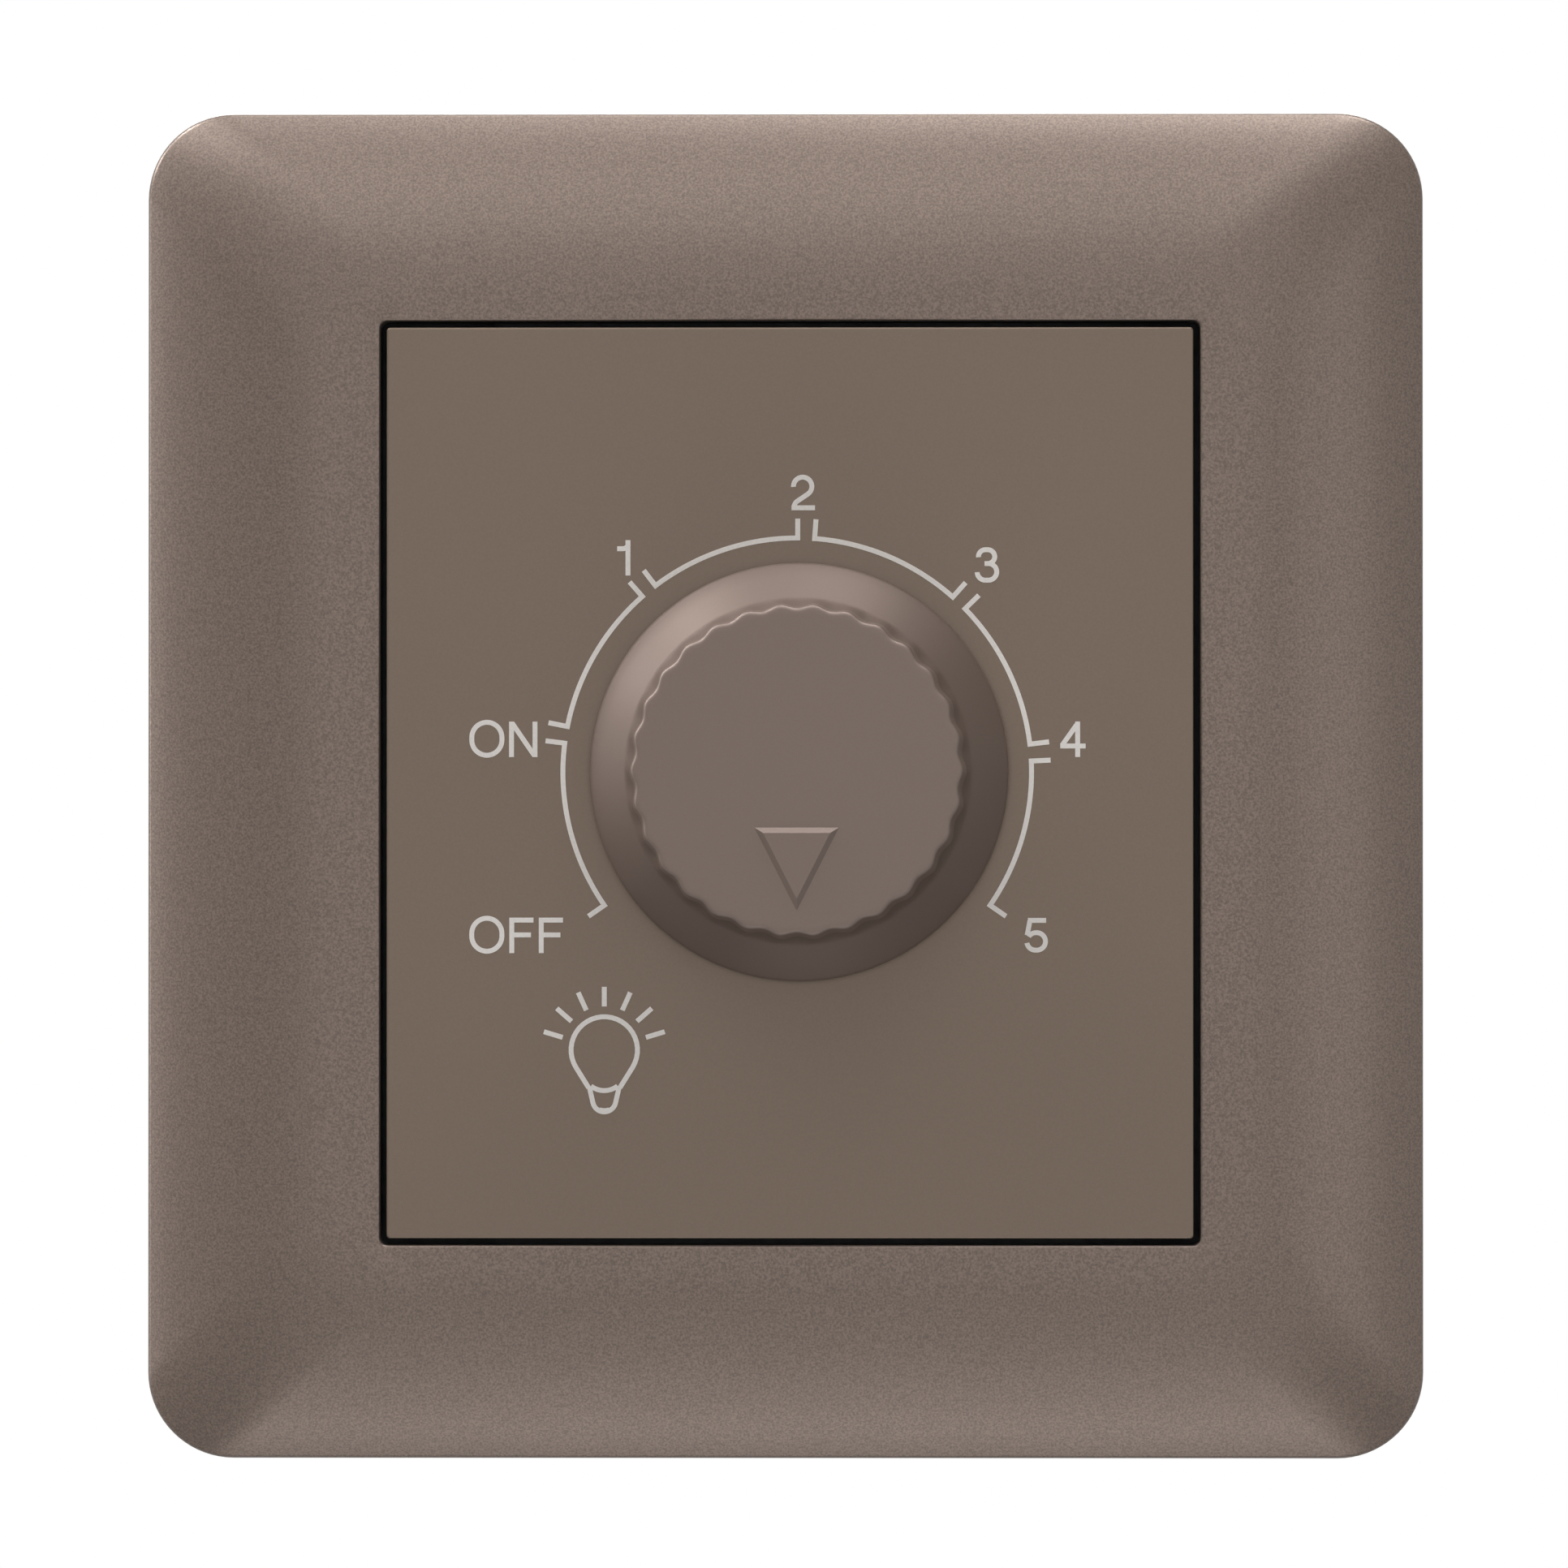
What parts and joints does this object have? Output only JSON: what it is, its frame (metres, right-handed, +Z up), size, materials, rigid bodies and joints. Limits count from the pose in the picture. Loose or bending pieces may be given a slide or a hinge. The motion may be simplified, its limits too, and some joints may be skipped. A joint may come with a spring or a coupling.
{
  "type": "rotary dimmer switch",
  "caption": "Flush wall dimmer: bronze cover plate with a rounded border, flush dial plate and a fluted rotary knob, on a frame with a boxed module behind.",
  "frame": {"origin": "centre of the cover plate on the wall plane, midway between the two wall-box screws", "axes": "+Z up, +X right as seen from the front, the front faces -Y and the module goes into the wall along +Y"},
  "size_m": [0.086, 0.0512, 0.0908],
  "materials": {
    "bronze_paint": "satin metallic paint on a moulding",
    "black_plastic": "fine grained black moulding",
    "grey_plastic": "dark grey heat-resistant moulding",
    "block_plastic": "off-white heat-resistant moulding",
    "phenolic": "pressed phenolic sheet",
    "board": "glass-fibre laminate with green lacquer",
    "epoxy": "moulded epoxy",
    "capacitor_case": "moulded case",
    "resistor_lacquer": "lacquer",
    "pad_rubber": "filled silicone sheet",
    "ferrite": "pressed iron powder",
    "copper": "enamelled copper wire",
    "brass": "bare brass",
    "spring_bronze": "spring strip",
    "zinc_steel": "zinc-plated steel",
    "tinned": "tin-plated metal",
    "sink_aluminium": "plain sheet",
    "fuse_glass": "clear tube"
  },
  "bodies": {
    "housing": {"front_plate": "bronze_paint", "dial_plate": "bronze_paint", "support_frame": "black_plastic", "chassis": "black_plastic", "rear_casing": "grey_plastic", "casing_screws": "zinc_steel", "bushing": "zinc_steel", "bushing_nut": "zinc_steel", "lock_washer": "zinc_steel", "pot_can": "zinc_steel", "pot_wafer": "phenolic", "pot_pins": "tinned", "switch_case": "black_plastic", "switch_leaf": "spring_bronze", "switch_contact": "spring_bronze", "circuit_board": "board", "heat_sink": "sink_aluminium", "thermal_pad": "pad_rubber", "triac_tab": "tinned", "triac_body": "epoxy", "triac_screw": "zinc_steel", "triac_nut": "zinc_steel", "choke_core": "ferrite", "choke_winding": "copper", "filter_capacitor": "capacitor_case", "timing_capacitor": "capacitor_case", "diac": "resistor_lacquer", "resistors": "resistor_lacquer", "fuse_tube": "fuse_glass", "fuse_caps": "tinned", "fuse_wire": "tinned", "fuse_clips": "tinned", "terminal_block": "block_plastic", "terminal_clamps": "brass", "terminal_screws": "zinc_steel"},
    "rotor": {"knob": "bronze_paint", "knob_spring": "spring_bronze", "shaft": "zinc_steel", "retaining_ring": "zinc_steel", "pot_rotor": "block_plastic", "pot_wiper": "spring_bronze", "switch_cam": "block_plastic"}
  },
  "joints": [
    {"name": "knob_turn", "type": "hinge", "parent": "housing", "child": "rotor", "pos_m": [0.00102, -0.0096, 0.00085], "axis": [0, 1, 0], "range_deg": [0, 304.7]}
  ]
}
